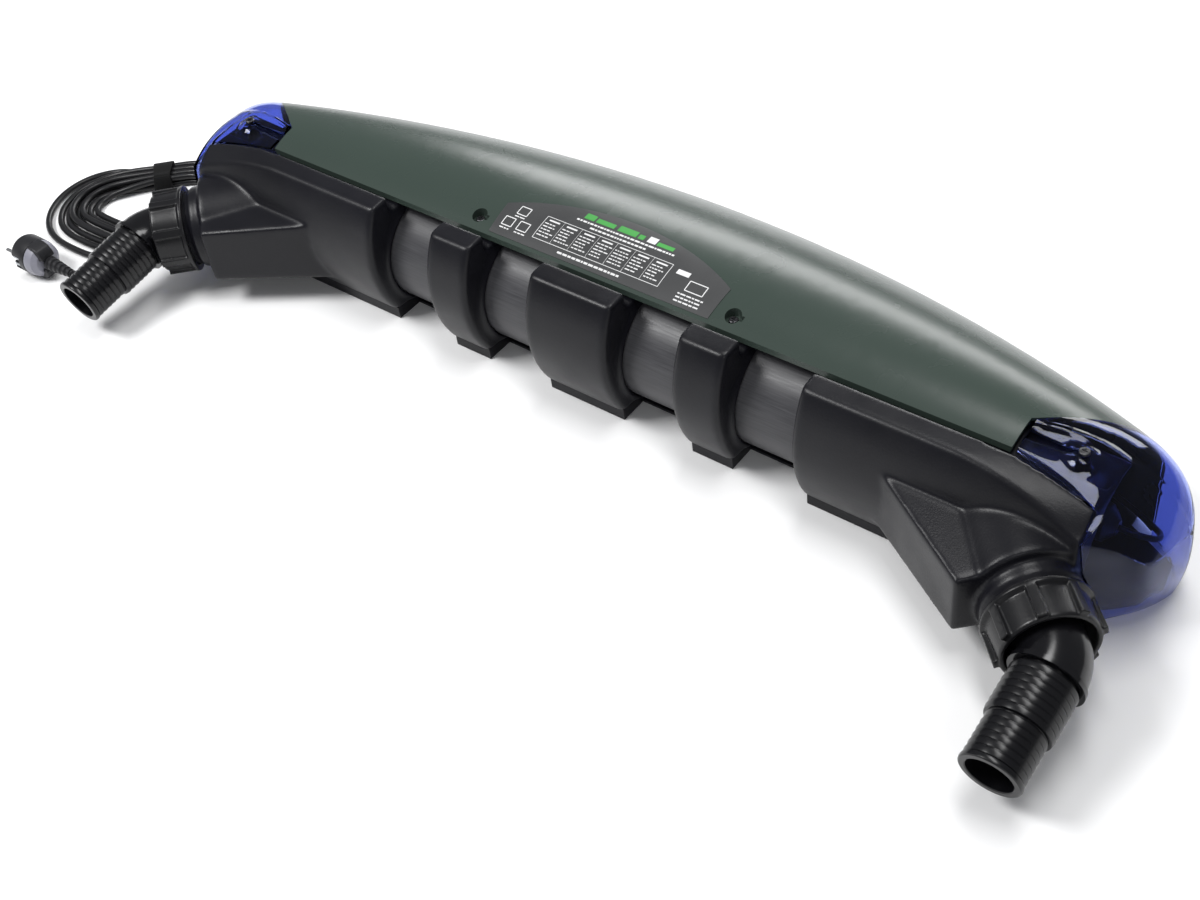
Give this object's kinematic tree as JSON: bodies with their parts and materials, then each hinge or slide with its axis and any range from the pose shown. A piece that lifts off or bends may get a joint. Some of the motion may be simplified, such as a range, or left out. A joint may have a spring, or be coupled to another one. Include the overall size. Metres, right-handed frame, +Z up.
{
  "type": "uv clarifier",
  "caption": "Long pond clarifier: UV lamp in a pipe between swivelling hose ports, under a lift-off bow-shaped cover with clear end caps.",
  "frame": {"origin": "underside of the base plate, below the middle of the reactor pipe", "axes": "+X along the pipe towards the end without the cord, -Y towards the hose ports, +Z up from the surface it stands on"},
  "size_m": [1.2496, 0.4347, 0.1412],
  "materials": {
    "green_cover": "satin",
    "black_moulding": "fine textured",
    "black_pipe": "brushed satin",
    "gloss_black": "gloss",
    "blue_clear": "clear",
    "label": "printed",
    "seal_rubber": "matt",
    "quartz": "clear",
    "lamp_glass": "clear",
    "steel": "satin",
    "aluminium": "satin",
    "dark_steel": "blackened",
    "ballast_case": "satin",
    "cream_plastic": "moulded",
    "cord_rubber": "matt",
    "strap_fabric": "hook-and-loop",
    "plug_rubber": "matt",
    "pin_metal": "plated"
  },
  "bodies": {
    "base": {"ballast": "ballast_case", "ballast_lead": "cord_rubber", "ballast_screws": "steel", "base_tray": "black_moulding", "cable_gland": "black_moulding", "centre_bracket": "black_moulding", "cord_hank": "cord_rubber", "cord_tie": "strap_fabric", "cover_seal": "seal_rubber", "foot_screws": "steel", "gland_nut": "black_moulding", "left_bracket": "black_moulding", "left_end_housing": "black_moulding", "left_end_plate": "black_pipe", "left_lamp_base": "aluminium", "left_lamp_holder": "cord_rubber", "left_lamp_lead": "cord_rubber", "left_sleeve_nut": "gloss_black", "left_sleeve_seal": "seal_rubber", "left_thrust_ring": "gloss_black", "mains_cord": "cord_rubber", "plug_body": "plug_rubber", "plug_cord": "cord_rubber", "plug_pins": "pin_metal", "plug_relief": "plug_rubber", "quartz_sleeve": "quartz", "reactor_tube": "black_pipe", "right_bracket": "black_moulding", "right_end_housing": "black_moulding", "right_end_plate": "black_pipe", "right_lamp_base": "aluminium", "right_lamp_holder": "cord_rubber", "right_lamp_lead": "cord_rubber", "right_sleeve_nut": "gloss_black", "right_sleeve_seal": "seal_rubber", "right_thrust_ring": "gloss_black", "strain_relief": "cord_rubber", "supply_lead": "cord_rubber", "terminal_block": "cream_plastic", "uv_lamp": "lamp_glass"},
    "cover": {"top_cover": "green_cover", "label_plate": "label", "cover_screws": "dark_steel"},
    "left_cap": {"left_end_cap": "blue_clear", "left_cap_screw": "dark_steel"},
    "right_cap": {"right_end_cap": "blue_clear", "right_cap_screw": "dark_steel"},
    "left_seal": {"left_port_seal": "seal_rubber"},
    "left_nut": {"left_union_nut": "black_moulding"},
    "left_elbow": {"left_swivel_elbow": "gloss_black", "left_hosetail": "gloss_black"},
    "right_seal": {"right_port_seal": "seal_rubber"},
    "right_nut": {"right_union_nut": "black_moulding"},
    "right_elbow": {"right_swivel_elbow": "gloss_black", "right_hosetail": "gloss_black"}
  },
  "joints": [
    {"name": "cover_lift", "type": "slide", "parent": "base", "child": "cover", "axis": [0, 0, 1], "range_m": [0, 0.12]},
    {"name": "left_cap_lift", "type": "slide", "parent": "base", "child": "left_cap", "axis": [0, 0, 1], "range_m": [0, 0.12]},
    {"name": "right_cap_lift", "type": "slide", "parent": "base", "child": "right_cap", "axis": [0, 0, 1], "range_m": [0, 0.12]},
    {"name": "left_union_travel", "type": "slide", "parent": "base", "child": "left_seal", "axis": [-0.7071, -0.7071, 0], "range_m": [0, 0.0092]},
    {"name": "left_nut_turn", "type": "hinge", "parent": "left_seal", "child": "left_nut", "pos_m": [-0.47237, -0.11667, 0.0585], "axis": [-0.7071, -0.7071, 0], "range_deg": [0, 1080]},
    {"name": "left_elbow_swivel", "type": "hinge", "parent": "left_seal", "child": "left_elbow", "pos_m": [-0.47237, -0.11667, 0.0585], "axis": [-0.7071, -0.7071, 0], "range_deg": [-15, 180]},
    {"name": "right_union_travel", "type": "slide", "parent": "base", "child": "right_seal", "axis": [0.7071, -0.7071, 0], "range_m": [0, 0.0092]},
    {"name": "right_nut_turn", "type": "hinge", "parent": "right_seal", "child": "right_nut", "pos_m": [0.47237, -0.11667, 0.0585], "axis": [0.7071, -0.7071, 0], "range_deg": [0, 1080]},
    {"name": "right_elbow_swivel", "type": "hinge", "parent": "right_seal", "child": "right_elbow", "pos_m": [0.47237, -0.11667, 0.0585], "axis": [0.7071, -0.7071, 0], "range_deg": [-180, 15]}
  ],
  "couplings": [
    {"joint": "left_union_travel", "follows": "left_nut_turn", "m_per_rad": 0.00047746},
    {"joint": "right_union_travel", "follows": "right_nut_turn", "m_per_rad": 0.00047746}
  ]
}
